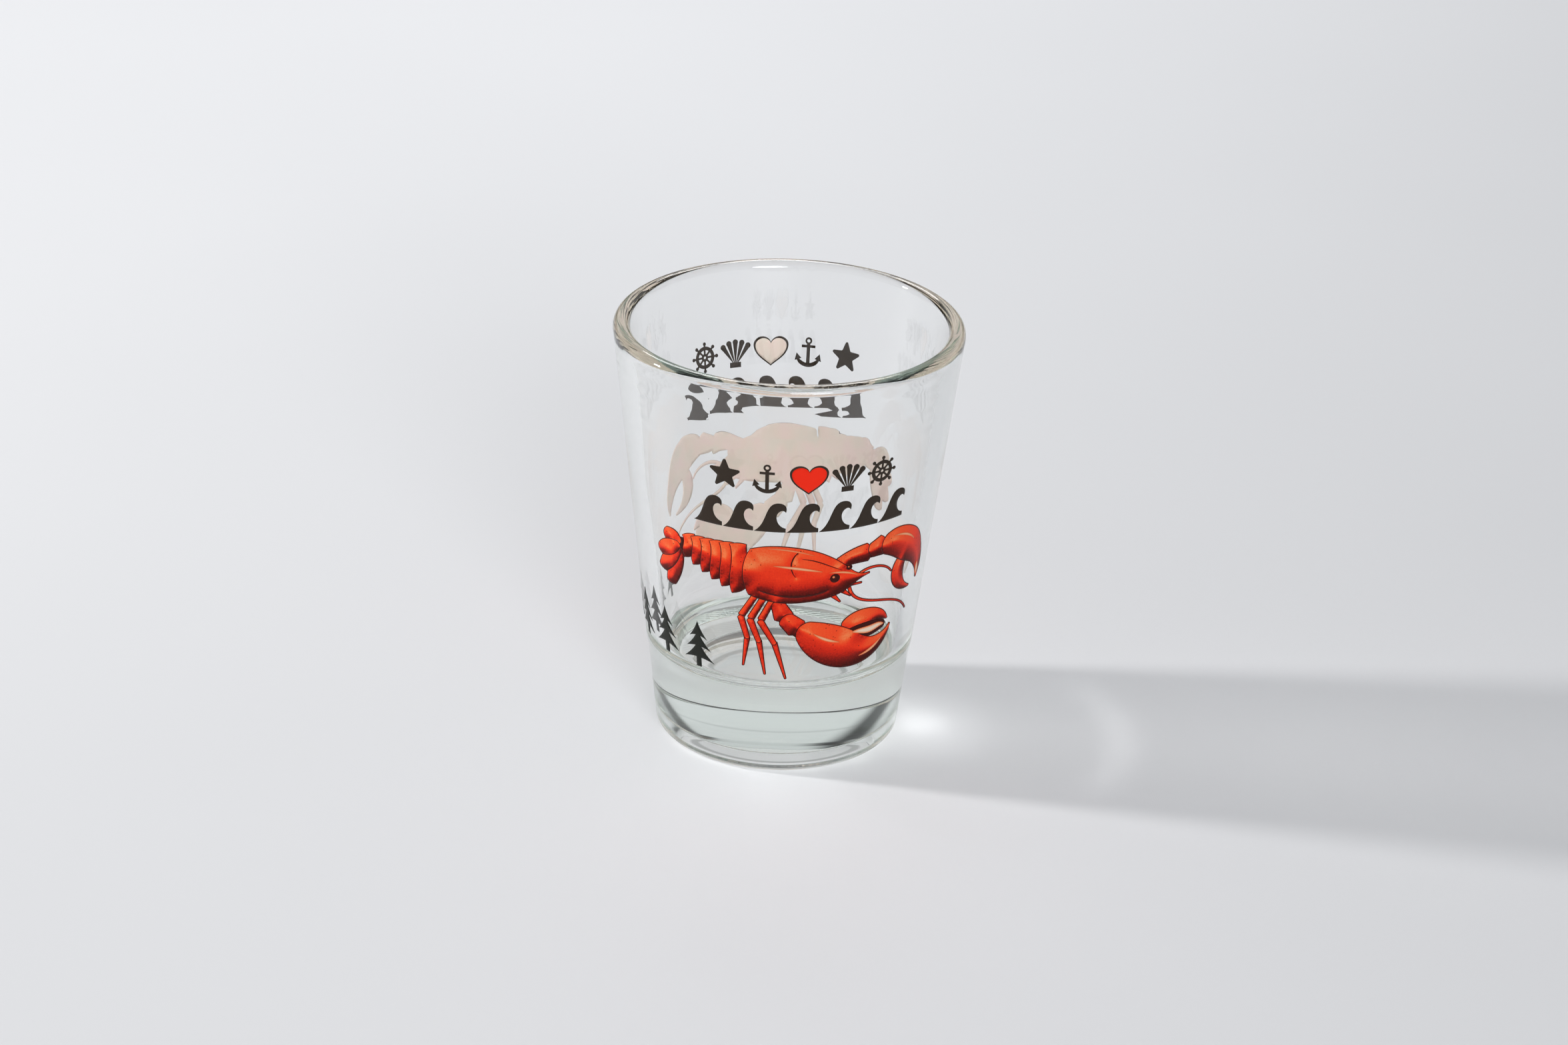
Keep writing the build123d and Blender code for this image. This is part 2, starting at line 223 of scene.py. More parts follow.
def new_object(name, vertices, faces, smooth=True):
    """Object of a new mesh, in metres."""
    mesh = bpy.data.meshes.new(name)
    mesh.from_pydata([tuple(v) for v in vertices], [], [tuple(f) for f in faces])
    mesh.validate()
    if smooth:
        mesh.shade_smooth()
    piece = bpy.data.objects.new(name, mesh)
    bpy.context.scene.collection.objects.link(piece)
    return piece


def point_attribute(piece, name, values):
    """Float attribute on the points of a piece, for its material."""
    attribute = piece.data.attributes.new(name, "FLOAT", "POINT")
    attribute.data.foreach_set("value", np.asarray(values, np.float32))


# ---------------------------------------------------------------- glass


def rounded_path(corners, step):
    """Path through (r, z, round) corners, with each corner rounded by an arc."""
    path = [np.array(corners[0][:2])]
    for before, corner, after in zip(corners, corners[1:], corners[2:]):
        here = np.array(corner[:2])
        back = np.array(before[:2]) - here
        ahead = np.array(after[:2]) - here
        back /= np.linalg.norm(back)
        ahead /= np.linalg.norm(ahead)
        half = math.acos(float(np.clip(back @ ahead, -1, 1))) / 2
        radius = corner[2]
        reach = radius / math.tan(half)
        middle = here + (back + ahead) / np.linalg.norm(back + ahead) * radius / math.sin(half)
        start = here + back * reach - middle
        end = here + ahead * reach - middle
        turn = math.atan2(start[0] * end[1] - start[1] * end[0], start @ end)
        count = max(2, round(abs(turn) / step))
        for i in range(count + 1):
            angle = turn * i / count
            c, s = math.cos(angle), math.sin(angle)
            turned = np.array([c * start[0] - s * start[1], s * start[0] + c * start[1]])
            path.append(middle + turned)
    path.append(np.array(corners[-1][:2]))
    return path


def divided(path, spacing):
    """The same path, with its long runs divided into shorter ones."""
    points = [path[0]]
    for a, b in zip(path, path[1:]):
        count = max(1, math.ceil(np.linalg.norm(b - a) / spacing(a, b)))
        for i in range(1, count + 1):
            points.append(a + (b - a) * i / count)
    return np.array(points)


def dome_path(radius, height, rise):
    """Arc from the middle of a shallow dome down to its edge."""
    ball = (radius**2 + rise**2) / (2 * rise)
    reach = math.asin(radius / ball)
    path = []
    for i in range(DOME_STEPS + 1):
        turn = reach * i / DOME_STEPS
        path.append(np.array((ball * math.sin(turn), height + rise - ball * (1 - math.cos(turn)))))
    return path


def glass_section():
    """Half section from the middle of the recess, round the outside, to the floor of the cup."""
    shoulder_foot = SHOULDER_HEIGHT - SHOULDER_RISE
    dome = dome_path(RECESS_RADIUS - RECESS_SLOPE, RECESS_DEPTH, RECESS_DOME)
    corners = [
        dome[-2],
        (RECESS_RADIUS - RECESS_SLOPE, RECESS_DEPTH, RECESS_ROUND),
        (RECESS_RADIUS, 0, RECESS_ROUND),
        (FOOT_RADIUS - SHOULDER_STEP, 0, HEEL_ROUND),
        (FOOT_RADIUS + TAPER * shoulder_foot - SHOULDER_STEP, shoulder_foot, SHOULDER_ROUND),
        (FOOT_RADIUS + TAPER * SHOULDER_HEIGHT, SHOULDER_HEIGHT, SHOULDER_ROUND),
        (RIM_RADIUS, HEIGHT, LIP_ROUND),
        (RIM_RADIUS - LIP_THICKNESS, HEIGHT, LIP_ROUND),
        (FLOOR_RADIUS, FLOOR_HEIGHT, FLOOR_ROUND),
        (0, FLOOR_HEIGHT, 0),
    ]

    def spacing(a, b):
        on_ring = max(a[1], b[1]) < 0.01
        up_inside = a[1] > b[1] > FLOOR_HEIGHT
        return STIPPLE_PITCH if on_ring else CUP_SPACING if up_inside else LONG_SPACING

    return divided(dome[:-2] + rounded_path(corners, math.radians(ROUND_STEP)), spacing)


def cup_unevenness(section, a, z):
    """Slight waves and ripples on the inside of the cup, which bend what is seen through it."""
    inside = np.clip((section[:, 1] - FLOOR_HEIGHT - WAVES_START) / WAVES_GROW, 0, 1)
    inside[: int(np.argmax(section[:, 1]))] = 0
    waves = sum(size * np.sin(lobes * a + lean * z + phase) for size, lobes, lean, phase in CUP_WAVES)
    ripples = sum(
        size * np.sin(rate * z + sway * np.sin(lobes * a) + phase)
        for size, rate, sway, lobes, phase in LIP_RIPPLES
    )
    near_lip = np.clip((z - RIPPLE_FOOT) / (HEIGHT - RIPPLE_FOOT), 0, 1)
    return inside * (waves * (1 + LIP_GAIN * near_lip**2) + ripples * near_lip)


def stipple(section, a):
    """Rows of small pits on the bearing ring, deeper in some stretches than in others."""
    on_ring = (section[:, 1] < 0.02) & (section[:, 0] > RECESS_RADIUS)
    rows = np.round(section[:, 0] / STIPPLE_PITCH)
    pit = 0.5 + 0.5 * np.cos(STIPPLE_COUNT * a + math.pi * (rows % 4 > 1))
    return on_ring * STIPPLE_DEPTH * pit * (0.6 + 0.4 * np.sin(5 * a) * np.sin(3 * a + 1))


def make_glass():
    """Turned glass body with a stippled bearing ring and the slight waves of pressed glass."""
    section = glass_section()
    around = section[1:-1]
    n = len(around)
    angle = np.arange(GLASS_SEGMENTS) * 2 * math.pi / GLASS_SEGMENTS
    r = np.repeat(around[None, :, 0], GLASS_SEGMENTS, 0)
    z = np.repeat(around[None, :, 1], GLASS_SEGMENTS, 0)
    a = np.repeat(angle[:, None], n, 1)
    r = r + cup_unevenness(around, a, z)
    z = z + stipple(around, a)
    verts = np.stack([r * np.cos(a), r * np.sin(a), z], -1).reshape(-1, 3)
    foot = [0, 0, section[0, 1]]
    floor = [0, 0, section[-1, 1]]
    verts = np.concatenate([verts, [foot, floor]]) * MM
    faces = []
    for i in range(GLASS_SEGMENTS):
        j = (i + 1) % GLASS_SEGMENTS
        for k in range(n - 1):
            faces.append((i * n + k, j * n + k, j * n + k + 1, i * n + k + 1))
        faces.append((len(verts) - 2, j * n, i * n))
        faces.append((len(verts) - 1, i * n + n - 1, j * n + n - 1))
    glass = new_object("glass", verts, faces)
    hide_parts("glass_body")
    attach(glass, "root")
    return glass


# ---------------------------------------------------------------- ink


def wall_radius(z):
    """Outer radius of the wall's cone at height z."""
    return FOOT_RADIUS + TAPER * z


def flat_outlines(node, turn):
    """Outlines of the outer skin of an ink node, laid out flat as (u, z), in millimetres."""
    mesh = frame["nodes"][node].data
    co = np.array([v.co for v in mesh.vertices]) / MM
    keys, index = np.unique(np.round(co, 4), axis=0, return_inverse=True)
    index = index.ravel()
    off = np.hypot(keys[:, 0], keys[:, 1]) - wall_radius(keys[:, 2])
    outer = off > (off.min() + off.max()) / 2
    edges = {}
    for polygon in mesh.polygons:
        corners = [int(index[v]) for v in polygon.vertices]
        if all(outer[c] for c in corners):
            for a, b in zip(corners, corners[1:] + corners[:1]):
                if a != b:
                    edges[(a, b)] = edges.get((a, b), 0) + 1
    border = {a: b for (a, b) in edges if (b, a) not in edges}
    angle = np.arctan2(keys[:, 0], -keys[:, 1]) - math.radians(turn)
    angle = (angle + math.pi) % (2 * math.pi) - math.pi
    flat = np.stack([angle * wall_radius(keys[:, 2]), keys[:, 2]], -1)
    loops = []
    while border:
        start, here = border.popitem()
        loop = [start]
        while here != start and here in border:
            loop.append(here)
            here = border.pop(here)
        if len(loop) > 3:
            loops.append(flat[loop])
    return loops


def inside_count(points, loops):
    """Which points lie inside the shapes that the loops bound, by the even-odd rule."""
    inside = np.zeros(len(points), bool)
    x, y = points[:, 0], points[:, 1]
    for loop in loops:
        nxt = np.roll(loop, -1, 0)
        for (x0, y0), (x1, y1) in zip(loop, nxt):
            if y0 != y1:
                crosses = (y0 > y) != (y1 > y)
                inside ^= crosses & (x < (x1 - x0) * (y - y0) / (y1 - y0) + x0)
    return inside


def border_distance(points, loops):
    """Distance from each point to the nearest outline."""
    a = np.concatenate(loops)
    b = np.concatenate([np.roll(loop, -1, 0) for loop in loops])
    run = b - a
    length = np.maximum((run**2).sum(1), 1e-12)
    best = np.full(len(points), 1e9)
    for first in range(0, len(points), CHUNK):
        part = points[first : first + CHUNK, None, :] - a[None]
        t = np.clip((part * run).sum(-1) / length, 0, 1)
        gap = ((part - t[..., None] * run) ** 2).sum(-1)
        best[first : first + CHUNK] = np.sqrt(gap.min(1))
    return best


def filled(loops, grid):
    """Points and triangles that fill the outlines, with an even grid of points inside."""
    border = np.concatenate(loops)
    edges = []
    first = 0
    for loop in loops:
        edges += [(first + i, first + (i + 1) % len(loop)) for i in range(len(loop))]
        first += len(loop)
    low, high = border.min(0), border.max(0)
    rows = np.arange(low[1], high[1], grid * 0.866)
    columns = np.arange(low[0], high[0], grid)
    u, z = np.meshgrid(columns, rows)
    u = u + grid / 2 * (np.arange(len(rows)) % 2)[:, None]
    inner = np.stack([u.ravel(), z.ravel()], -1)
    inner = inner[inside_count(inner, loops)]
    inner = inner[border_distance(inner, loops) > 0.4 * grid] if len(inner) else inner
    points = np.concatenate([border, inner]) if len(inner) else border
    made = delaunay_2d_cdt([Vector(p) for p in points.tolist()], edges, [], 0, 1e-7)
    flat = np.array([tuple(v) for v in made[0]])
    triangles = np.array([f for f in made[2] if len(f) == 3])
    keep = inside_count(flat[triangles].mean(1), loops)
    triangles = triangles[keep]
    used, index = np.unique(triangles, return_inverse=True)
    flat, triangles = flat[used], index.reshape(-1, 3)
    a, b, c = (flat[triangles[:, i]] for i in range(3))
    area = (b - a)[:, 0] * (c - a)[:, 1] - (b - a)[:, 1] * (c - a)[:, 0]
    triangles[area < 0] = triangles[area < 0][:, ::-1]
    return flat, triangles[np.abs(area) > 1e-9]


def open_edges(triangles):
    """Directed edges that only one triangle has."""
    directed = {(t[i], t[(i + 1) % 3]) for t in triangles.tolist() for i in range(3)}
    return [(a, b) for a, b in directed if (b, a) not in directed]


def wrapped(flat, off, turn):
    """Flat artwork points carried round the cone at a distance off its surface, in metres."""
    radius = wall_radius(flat[:, 1])
    angle = flat[:, 0] / radius + math.radians(turn)
    out = radius + off
    return np.stack([out * np.sin(angle), -out * np.cos(angle), flat[:, 1]], -1) * MM


def make_ink(node, turn, first_pass, passes=1, grid=INK_GRID):
    """Ink deposit with the outline of its CAD node, filled with an even mesh, on the cone."""
    loops = flat_outlines(node, turn)
    flat, triangles = filled(loops, grid)
    inner = INK_PASS * first_pass - INK_SINK
    outer = INK_PASS * (first_pass + passes)
    count = len(flat)
    vertices = np.concatenate([wrapped(flat, outer, turn), wrapped(flat, inner, turn)])
    faces = triangles.tolist() + (triangles[:, ::-1] + count).tolist()
    faces += [(b, a, a + count, b + count) for a, b in open_edges(triangles)]
    ink = new_object(node + "_film", vertices, faces)
    depth = border_distance(flat, loops)
    point_attribute(ink, "depth", np.tile(depth, 2))
    uv = ink.data.uv_layers.new(name="print")
    corner = np.zeros(len(ink.data.loops), np.int32)
    ink.data.loops.foreach_get("vertex_index", corner)
    layout = np.tile(flat, (2, 1))[corner]
    uv.data.foreach_set("uv", layout.astype(np.float32).ravel())
    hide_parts(node)
    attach(ink, "root")
    return ink, flat, triangles, depth


def islands(count, triangles):
    """Number of the separate shape that each point belongs to."""
    label = np.arange(count)
    while True:
        low = label[triangles].min(1)
        new = label.copy()
        for i in range(3):
            np.minimum.at(new, triangles[:, i], low)
        new = new[new]
        if (new == label).all():
            return label
        label = new


def rounded(depth, width):
    """Height of a rounded edge, for points this deep inside a shape."""
    return width * (1 - (1 - np.clip(depth / width, 0, 1)) ** 2)


def swelling(flat, triangles, depth, figure_depth):
    """Painted roundness: the way each point of the shapes faces."""
    label = islands(len(flat), triangles)
    deepest = np.zeros(len(flat))
    np.maximum.at(deepest, label, depth)
    plate = rounded(depth, np.clip(deepest[label], *PLATE_REACH))
    height = FIGURE_RISE * rounded(figure_depth, FIGURE_REACH) + PLATE_RISE * plate
    pairs = np.concatenate([triangles[:, [0, 1]], triangles[:, [1, 2]], triangles[:, [2, 0]]])
    total = np.bincount(pairs.ravel(), minlength=len(flat))
    for _ in range(SMOOTHINGS):
        around = np.zeros(len(flat))
        np.add.at(around, pairs[:, 0], height[pairs[:, 1]])
        np.add.at(around, pairs[:, 1], height[pairs[:, 0]])
        smooth = (1 - SMOOTHING) * height + SMOOTHING * around / np.maximum(total, 1)
        height = np.where(depth > 1e-4, smooth, height)
    solid = np.concatenate([flat, height[:, None]], 1)
    a, b, c = (solid[triangles[:, i]] for i in range(3))
    face = np.cross(b - a, c - a)
    normal = np.zeros_like(solid)
    for i in range(3):
        np.add.at(normal, triangles[:, i], face)
    normal /= np.maximum(np.linalg.norm(normal, axis=1, keepdims=True), 1e-12)
    return normal


# ---------------------------------------------------------------- materials


class Nodes:
    """Short way to build a node tree."""

    def __init__(self, tree):
        self.tree = tree
        tree.nodes.clear()

    def add(self, kind, **settings):
        """New node; a setting named in_NAME or in_NUMBER is one of its inputs, a value or a link."""
        node = self.tree.nodes.new(kind)
        for name, value in settings.items():
            if name.startswith("in_"):
                key = name[3:].replace("_", " ")
                target = node.inputs[int(key)] if key.isdigit() else node.inputs[key]
                if isinstance(value, bpy.types.NodeSocket):
                    self.tree.links.new(value, target)
                else:
                    target.default_value = value
            else:
                setattr(node, name, value)
        return node

    def math(self, operation, a, b=0.0, c=0.0):
        """Result of a sum on one to three values."""
        return self.add("ShaderNodeMath", operation=operation, in_0=a, in_1=b, in_2=c).outputs[0]

    def mapped(self, value, source, target=(0.0, 1.0), kind="LINEAR"):
        """Value carried from one range to another, and held at the ends."""
        node = self.add("ShaderNodeMapRange", in_Value=value, interpolation_type=kind)
        for key, ends in (("From", source), ("To", target)):
            node.inputs[f"{key} Min"].default_value = ends[0]
            node.inputs[f"{key} Max"].default_value = ends[1]
        return node.outputs[0]

    def ramp(self, value, stops):
        """Colour ramp through (position, colour) stops."""
        node = self.add("ShaderNodeValToRGB", in_Fac=value)
        elements = node.color_ramp.elements
        while len(elements) < len(stops):
            elements.new(0.5)
        for element, (position, colour) in zip(elements, stops):
            element.position = position
            element.color = (*colour, 1)
        return node.outputs[0]


def new_material(name):
    """Empty node material, and its node builder."""
    material = bpy.data.materials.new(name)
    material.use_nodes = True
    return material, Nodes(material.node_tree)


def glass_material():
    """Clear glass with a faint grey-green tint that shows where the glass is thick, and painted shade
    where it is seen edge on.
    """
    material, n = new_material("clear_glass")
    facing = n.add("ShaderNodeLayerWeight", in_Blend=0.5).outputs["Facing"]
    # painted shade: the colour of the glass is darkened where it is seen edge on
    body = n.ramp(facing, [(0.00, (1, 1, 1)), (0.60, (1, 1, 1)), (0.90, GRAZING_SHADE)])
    glass = n.add("ShaderNodeBsdfPrincipled", in_Base_Color=body, in_Roughness=0.0, in_IOR=GLASS_IOR)
    glass.inputs["Transmission Weight"].default_value = 1.0
    tint = n.add("ShaderNodeVolumeAbsorption", in_Color=(*GLASS_TINT, 1), in_Density=TINT_DENSITY)
    # its own shadow: part of the light passes straight through, less of it in the base
    passed = n.mapped(facing, (0, 1), (SHADOW_PASSED, 0))
    place = n.add("ShaderNodeTexCoord").outputs["Object"]
    height = n.add("ShaderNodeSeparateXYZ", in_0=place).outputs[2]
    fade = [(FLOOR_HEIGHT + above) * MM for above in BASE_FADE]
    above_base = n.mapped(height, fade, (BASE_PASSED, 1))
    shade = n.math("MULTIPLY", passed, above_base)
    through = n.add("ShaderNodeBsdfTransparent", in_Color=shade)
    shadow = n.add("ShaderNodeLightPath").outputs["Is Shadow Ray"]
    mix = n.add("ShaderNodeMixShader", in_0=shadow, in_1=glass.outputs[0], in_2=through.outputs[0])
    n.add("ShaderNodeOutputMaterial", in_Surface=mix.outputs[0], in_Volume=tint.outputs[0])
    return material


def enamel(name, roughness):
    """Fired enamel ink with a slightly uneven surface, and what its colour is made from."""
    material, n = new_material(name)
    place = n.add("ShaderNodeUVMap", uv_map="print").outputs[0]
    grain = n.add("ShaderNodeTexNoise", in_Vector=place, in_Scale=4.0, in_Detail=3.0).outputs[0]
    bump = n.add("ShaderNodeBump", in_Height=grain, in_Strength=0.08, in_Distance=0.0002)
    shader = n.add("ShaderNodeBsdfPrincipled", in_Normal=bump.outputs[0], in_Roughness=roughness)
    shader.inputs["Specular IOR Level"].default_value = ENAMEL_GLOSS
    n.add("ShaderNodeOutputMaterial", in_Surface=shader.outputs[0])
    return SimpleNamespace(material=material, nodes=n, shader=shader, place=place, grain=grain)


def coloured(ink, colour):
    """The enamel's material, once its colour is set or linked."""
    target = ink.shader.inputs["Base Color"]
    if isinstance(colour, bpy.types.NodeSocket):
        ink.nodes.tree.links.new(colour, target)
    else:
        target.default_value = (*colour, 1)
    return ink.material


def red_material():
    """Lobster red: painted light and shade, halftone dots and the specks of the shell."""
    ink = enamel("lobster_red_enamel", 0.3)
    n = ink.nodes
    light = n.add("ShaderNodeAttribute", attribute_name="light").outputs["Fac"]
    dots = n.add("ShaderNodeTexVoronoi", in_Vector=ink.place, in_Scale=5.0, in_Randomness=0.1)
    uneven = n.math("MULTIPLY_ADD", ink.grain, 0.20, -0.10)
    halftone = n.math("MULTIPLY_ADD", dots.outputs["Distance"], 0.16, -0.07)
    tone = n.math("ADD", n.math("ADD", light, uneven), halftone)
    colour = n.ramp(tone, [
        (0.00, (0.060, 0.006, 0.004)),
        (0.18, (0.22, 0.010, 0.006)),
        (0.33, (0.66, 0.022, 0.008)),
        (0.52, (0.94, 0.044, 0.012)),
        (0.72, (0.98, 0.105, 0.026)),
        (0.88, (0.99, 0.27, 0.090)),
        (1.00, (1.00, 0.52, 0.26)),
    ])
    specks = n.add("ShaderNodeTexVoronoi", in_Vector=ink.place, in_Scale=1.15, in_Randomness=1.0)
    near = n.math("LESS_THAN", specks.outputs["Distance"], 0.11)
    mix = n.add("ShaderNodeMix", data_type="RGBA", in_0=n.math("MULTIPLY", near, 0.75), in_6=colour)
    mix.inputs[7].default_value = (0.25, 0.012, 0.008, 1)
    return coloured(ink, mix.outputs[2])


def base_material():
    """White underbase: cream, with a pink cast where the red shows through it."""
    ink = enamel("white_base_enamel", 0.45)
    n = ink.nodes
    cloud = n.add("ShaderNodeTexNoise", in_Vector=ink.place, in_Scale=0.28, in_Detail=1.5).outputs[0]
    colour = n.ramp(cloud, [
        (0.36, (0.92, 0.73, 0.67)),
        (0.50, (0.90, 0.75, 0.66)),
        (0.64, (0.85, 0.75, 0.65)),
    ])
    return coloured(ink, colour)


def pale_material():
    """Highlights: pale in the middle of each stroke, orange at its edge."""
    ink = enamel("pale_enamel", 0.3)
    n = ink.nodes
    depth = n.add("ShaderNodeAttribute", attribute_name="depth").outputs["Fac"]
    colour = n.ramp(n.math("MULTIPLY", depth, 3.0), [
        (0.0, (0.80, 0.13, 0.035)),
        (0.35, (0.88, 0.36, 0.17)),
        (1.0, (0.90, 0.72, 0.56)),
    ])
    return coloured(ink, colour)


def floor_material():
    """Pale, softly uneven table top, with a painted shadow under the foot: a little darker, with a
    dark ring.
    """
    material, n = new_material("pale_table")
    place = n.add("ShaderNodeTexCoord").outputs["Object"]
    cloud = n.add("ShaderNodeTexNoise", in_Vector=place, in_Scale=6.0, in_Detail=2.0).outputs[0]
    colour = n.ramp(cloud, [(0.3, (0.77, 0.775, 0.79)), (0.7, (0.79, 0.795, 0.81))])
    away = n.add("ShaderNodeVectorMath", operation="LENGTH", in_0=place).outputs["Value"]
    # painted shadow under the foot: a slightly darker disc with a dark ring in it, fading out towards
    # the edge of the foot
    under = n.ramp(n.math("DIVIDE", away, FOOT_SHADOW_REACH * MM), [
        (0.00, (0.90, 0.90, 0.90)),
        (0.46, (0.85, 0.85, 0.85)),
        (0.48, (0.45, 0.45, 0.45)),
        (0.51, (0.45, 0.45, 0.45)),
        (0.53, (0.95, 0.95, 0.95)),
        (0.80, (1.00, 1.00, 1.00)),
    ])
    shaded = n.add("ShaderNodeVectorMath", operation="MULTIPLY", in_0=colour, in_1=under)
    shader = n.add("ShaderNodeBsdfPrincipled", in_Base_Color=shaded.outputs[0], in_Roughness=0.55)
    shader.inputs["Specular IOR Level"].default_value = 0.25
    n.add("ShaderNodeOutputMaterial", in_Surface=shader.outputs[0])
    return material


# ---------------------------------------------------------------- the piece list

glass = make_glass()
glass.data.materials.append(glass_material())

BLACK = coloured(enamel("black_enamel", 0.4), (0.043, 0.032, 0.024))
SIDE_BLACK = coloured(enamel("side_black_enamel", 0.4), (0.022, 0.024, 0.020))
DARK = coloured(enamel("dark_line_enamel", 0.35), (0.050, 0.008, 0.006))
HEART_RED = coloured(enamel("heart_red_enamel", 0.3), (0.98, 0.030, 0.010))
RED = red_material()
BASE = base_material()
PALE = pale_material()


def unit(vector):
    """The same direction, one long."""
    return vector / np.linalg.norm(vector)


def paint(ink, flat, triangles, depth, figure):
    """Stores the painted light of the red shapes."""
    light = unit(np.array(PAINT_LIGHT))
    gloss = unit(light + np.array([0, 0, 1]))
    normal = swelling(flat, triangles, depth, border_distance(flat, figure))
    shine = np.clip(normal @ gloss, 0, 1) ** SHINE_POWER
    tone = np.clip(PAINT_SHADE + PAINT_DIFFUSE * (normal @ light) + PAINT_SHINE * shine, 0, 1)
    point_attribute(ink, "light", np.tile(tone, 2))


def print_ink(node, turn, first_pass, material, **shape):
    """Ink deposit of one node in its enamel, with its flat layout."""
    ink, *layout = make_ink(node, turn, first_pass, **shape)
    ink.data.materials.append(material)
    return ink, *layout


for side, turn in SIDES.items():
    print_ink(f"{side}_lobster_white_base", turn, 0, BASE, grid=BASE_GRID)
    red = print_ink(f"{side}_lobster_red_ink", turn, 1, RED, grid=RED_GRID)
    paint(*red, flat_outlines(f"{side}_lobster_white_base", turn))
    print_ink(f"{side}_lobster_dark_ink", turn, 1, DARK)
    print_ink(f"{side}_lobster_pale_ink", turn, 2, PALE, grid=PALE_GRID)
    print_ink(f"{side}_heart_border", turn, 0, BLACK, passes=2)
    print_ink(f"{side}_heart_white_base", turn, 0, BASE, grid=MARK_GRID)
    print_ink(f"{side}_heart_red_ink", turn, 1, HEART_RED, grid=HEART_GRID)
    for mark in BLACK_MARKS:
        print_ink(f"{side}_{mark}", turn, 0, BLACK, grid=MARK_GRID)
print_ink("side_fir_trees", 0, 0, SIDE_BLACK, grid=MARK_GRID)

# ---------------------------------------------------------------- stage, light and camera

corners = [(x * TABLE_REACH, y * TABLE_REACH, 0) for x, y in ((-1, -1), (1, -1), (1, 1), (-1, 1))]
floor = new_object("floor", corners, [(0, 1, 2, 3)], smooth=False)
floor.data.materials.append(floor_material())
floor.location.z = -TABLE_DROP * MM


def place_lamp(light, place, aim):
    """Lamp at a place, turned to its aim, and not seen through the glass."""
    lamp = bpy.data.objects.new(light.name, light)
    bpy.context.scene.collection.objects.link(lamp)
    lamp.location = place
    lamp.rotation_euler = (Vector(aim) - Vector(place)).to_track_quat("-Z", "Y").to_euler()
    lamp.visible_transmission = False
    return lamp


def round_lamps():
    """Round area lamps, by name."""
    lamps = {}
    for name, (place, aim, size, power, colour) in LAMPS.items():
        light = bpy.data.lights.new(name, "AREA")
        light.shape = "DISK"
        light.size = size
        light.energy = power
        light.color = colour
        light.use_shadow = name not in SHADOWLESS
        lamps[name] = place_lamp(light, place, aim)
    return lamps


def gathered_spots():
    """A bright spot beside the base, a haze round it, and an arc that fades out at both ends."""
    spots = [BRIGHT_SPOT, HAZE]
    for i in range(ARC_SPOTS):
        turn = math.radians(ARC_START + ARC_SWEEP * i / (ARC_SPOTS - 1))
        power = ARC_POWER * math.sin(math.pi * (i + 0.6) / (ARC_SPOTS + 0.2)) ** 0.7
        x = ARC_MIDDLE[0] + ARC_RADIUS * math.cos(turn)
        y = ARC_MIDDLE[1] + ARC_RADIUS * math.sin(turn)
        spots.append((x, y, ARC_WIDTH, power))
    return spots


def light_table():
    """Soft spotlights for the light that the glass gathers from the key lamp."""
    for number, (x, y, width, power) in enumerate(gathered_spots()):
        light = bpy.data.lights.new(f"gathered_light_{number}", "SPOT")
        light.energy = power
        light.spot_size = math.radians(width)
        light.spot_blend = 1.0
        light.shadow_soft_size = GATHERED_SOFTNESS
        light.use_shadow = False
        place_lamp(light, GATHERED_FROM, Vector((x, y, 0)) * MM)


lamps = round_lamps()
light_table()

# the print glow falls on the back of the far print only, which the glass in front lets through
far_print = bpy.data.collections.new("far_print")
for piece in bpy.data.objects:
    if piece.name.startswith("back_") and piece.name.endswith("_film"):
        far_print.objects.link(piece)
lamps["print_glow"].light_linking.receiver_collection = far_print


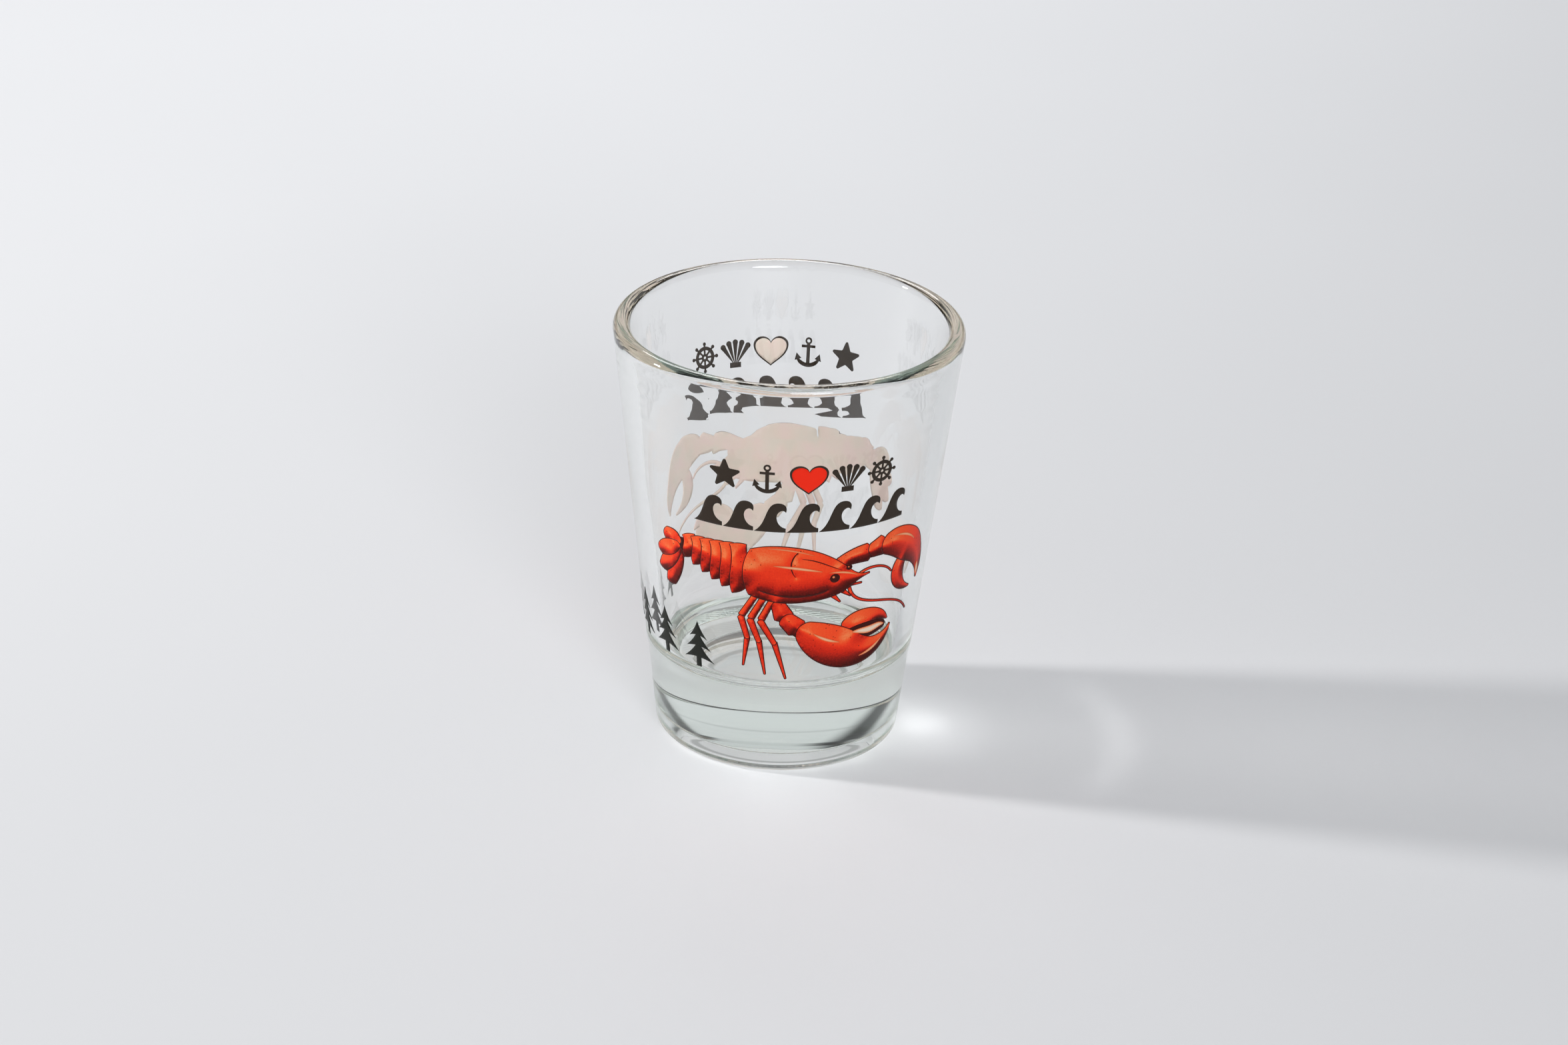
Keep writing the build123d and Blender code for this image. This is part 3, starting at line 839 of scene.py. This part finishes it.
def make_room():
    """Soft surroundings, whose light reaches the table only the way the glass bends it."""
    world = bpy.data.worlds.new("studio")
    world.use_nodes = True
    world.cycles.sampling_method = "NONE"
    w = Nodes(world.node_tree)
    way = w.add("ShaderNodeTexCoord").outputs["Generated"]
    apart = w.add("ShaderNodeSeparateXYZ", in_0=way)
    lit = w.mapped(apart.outputs[1], FRONT_TO_BACK, (FRONT_OF_ROOM, 1), "SMOOTHSTEP")
    for normal, edge, axis, fade, darkest in DARK_BARS:
        off_bar = w.add("ShaderNodeVectorMath", operation="DOT_PRODUCT", in_0=way, in_1=normal)
        off_bar = w.math("ABSOLUTE", off_bar.outputs["Value"])
        clear = w.mapped(off_bar, edge, kind="SMOOTHSTEP")
        faded = w.mapped(apart.outputs[axis], fade, kind="SMOOTHSTEP")
        clear = w.math("MAXIMUM", clear, faded)
        lit = w.math("MULTIPLY", lit, w.math("MULTIPLY_ADD", clear, 1 - darkest, darkest))
    sky = w.ramp(apart.outputs[2], SKY)
    room = w.add("ShaderNodeVectorMath", operation="SCALE", in_0=sky)
    w.tree.links.new(lit, room.inputs["Scale"])
    background = w.add("ShaderNodeBackground", in_Color=room.outputs[0], in_Strength=ROOM_STRENGTH)
    w.add("ShaderNodeOutputWorld", in_Surface=background.outputs[0])
    return world


def make_camera():
    """Camera at the photograph's viewing angle."""
    elevation = math.radians(CAMERA_ELEVATION)
    azimuth = math.radians(CAMERA_AZIMUTH)
    towards = Vector((
        math.sin(azimuth) * math.cos(elevation),
        -math.cos(azimuth) * math.cos(elevation),
        math.sin(elevation),
    ))
    level = (-towards).to_track_quat("-Z", "Y")
    aim = Vector((0, 0, AIM_HEIGHT)) + level @ Vector((AIM_RIGHT, AIM_UP, 0))
    lens = bpy.data.cameras.new("camera")
    lens.sensor_width = SENSOR_WIDTH
    lens.lens = CAMERA_LENS
    lens.clip_start = 0.01
    lens.clip_end = 20
    camera = bpy.data.objects.new("camera", lens)
    bpy.context.scene.collection.objects.link(camera)
    camera.location = (aim + towards * CAMERA_DISTANCE) * MM
    camera.rotation_mode = "QUATERNION"
    camera.rotation_quaternion = level @ Quaternion((0, 0, 1), math.radians(CAMERA_ROLL))
    return camera


scene = bpy.context.scene
scene.world = make_room()
scene.camera = make_camera()
scene.view_settings.view_transform = "Standard"
scene.cycles.max_bounces = 32
scene.cycles.glossy_bounces = 24
scene.cycles.transmission_bounces = 32
scene.cycles.transparent_max_bounces = 16
